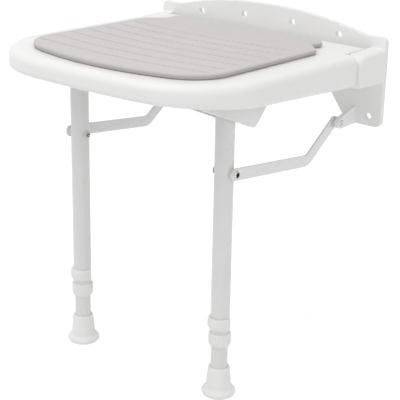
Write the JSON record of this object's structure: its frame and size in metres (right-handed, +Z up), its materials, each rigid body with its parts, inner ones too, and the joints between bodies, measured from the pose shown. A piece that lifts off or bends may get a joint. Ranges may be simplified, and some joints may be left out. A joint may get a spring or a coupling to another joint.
{
  "type": "fold down wall seat",
  "caption": "Fold down wall seat: padded white moulded seat hinged on a wall plate, held level by folding tube legs with bent links, adjustable rubber feet and clips",
  "frame": {"origin": "on the wall plane, midway across the bracket, level with the seat's hinge axis", "axes": "+X to the right along the wall as seen by someone facing the wall, +Y into the wall, +Z up; the floor is at z = -0.467 m"},
  "size_m": [0.443, 0.4565, 0.535],
  "materials": {
    "bracket_plastic": "satin white moulding",
    "seat_plastic": "satin white moulding",
    "pad_foam": "matt grey skin of moulded foam",
    "leg_paint": "white powder coat",
    "link_paint": "white powder coat",
    "collar_plastic": "fine matt",
    "foot_rubber": "matt white rubber",
    "pin_steel": "turned, bright",
    "bolt_zinc": "zinc plated",
    "bush_nylon": "natural nylon"
  },
  "bodies": {
    "wall_bracket": {"wall_bracket": "bracket_plastic", "right_hinge_pin": "pin_steel", "right_lug_pin": "pin_steel", "right_lug_spacer": "bush_nylon", "left_hinge_pin": "pin_steel", "left_lug_pin": "pin_steel", "left_lug_spacer": "bush_nylon"},
    "seat": {"seat_shell": "seat_plastic", "seat_pad": "pad_foam", "pad_studs": "bush_nylon", "right_hinge_bush": "bush_nylon", "right_leg_pivot_pin": "pin_steel", "left_hinge_bush": "bush_nylon", "left_leg_pivot_pin": "pin_steel"},
    "right_leg": {"right_leg_tube": "leg_paint", "right_leg_top_plug": "bush_nylon", "right_leg_pivot_washers": "bush_nylon", "right_tube_collar": "collar_plastic", "right_link_bolt": "bolt_zinc", "right_link_nut": "bolt_zinc", "right_link_washers": "bolt_zinc"},
    "right_link": {"right_link_strap": "link_paint"},
    "right_foot": {"right_inner_tube": "leg_paint", "right_foot_ferrule": "foot_rubber", "right_foot_washer": "pin_steel"},
    "right_clip": {"right_height_clip": "collar_plastic"},
    "left_leg": {"left_leg_tube": "leg_paint", "left_leg_top_plug": "bush_nylon", "left_leg_pivot_washers": "bush_nylon", "left_tube_collar": "collar_plastic", "left_link_bolt": "bolt_zinc", "left_link_nut": "bolt_zinc", "left_link_washers": "bolt_zinc"},
    "left_link": {"left_link_strap": "link_paint"},
    "left_foot": {"left_inner_tube": "leg_paint", "left_foot_ferrule": "foot_rubber", "left_foot_washer": "pin_steel"},
    "left_clip": {"left_height_clip": "collar_plastic"}
  },
  "joints": [
    {"name": "seat_hinge", "type": "hinge", "parent": "wall_bracket", "child": "seat", "pos_m": [0, -0.049, 0], "axis": [-1, 0, 0], "range_deg": [0, 88]},
    {"name": "right_leg_pivot", "type": "hinge", "parent": "seat", "child": "right_leg", "pos_m": [0.1404, -0.30649, -0.02103], "axis": [-1, 0, 0], "range_deg": [-88, 0]},
    {"name": "right_link_pivot", "type": "hinge", "parent": "wall_bracket", "child": "right_link", "pos_m": [0.16095, -0.049, -0.0895], "axis": [-1, 0, 0], "range_deg": [0, 88]},
    {"name": "right_height", "type": "slide", "parent": "right_leg", "child": "right_foot", "axis": [0, 0, -1], "range_m": [-0.025, 0.125]},
    {"name": "right_clip_pull", "type": "slide", "parent": "right_leg", "child": "right_clip", "axis": [0, -1, 0], "range_m": [0, 0.03]},
    {"name": "left_leg_pivot", "type": "hinge", "parent": "seat", "child": "left_leg", "pos_m": [-0.1404, -0.30649, -0.02103], "axis": [-1, 0, 0], "range_deg": [-88, 0]},
    {"name": "left_link_pivot", "type": "hinge", "parent": "wall_bracket", "child": "left_link", "pos_m": [-0.16095, -0.049, -0.0895], "axis": [-1, 0, 0], "range_deg": [0, 88]},
    {"name": "left_height", "type": "slide", "parent": "left_leg", "child": "left_foot", "axis": [0, 0, -1], "range_m": [-0.025, 0.125]},
    {"name": "left_clip_pull", "type": "slide", "parent": "left_leg", "child": "left_clip", "axis": [0, -1, 0], "range_m": [0, 0.03]}
  ],
  "couplings": [
    {"joint": "right_leg_pivot", "follows": "seat_hinge", "ratio": -1},
    {"joint": "right_link_pivot", "follows": "seat_hinge", "ratio": 1},
    {"joint": "left_leg_pivot", "follows": "seat_hinge", "ratio": -1},
    {"joint": "left_link_pivot", "follows": "seat_hinge", "ratio": 1}
  ]
}
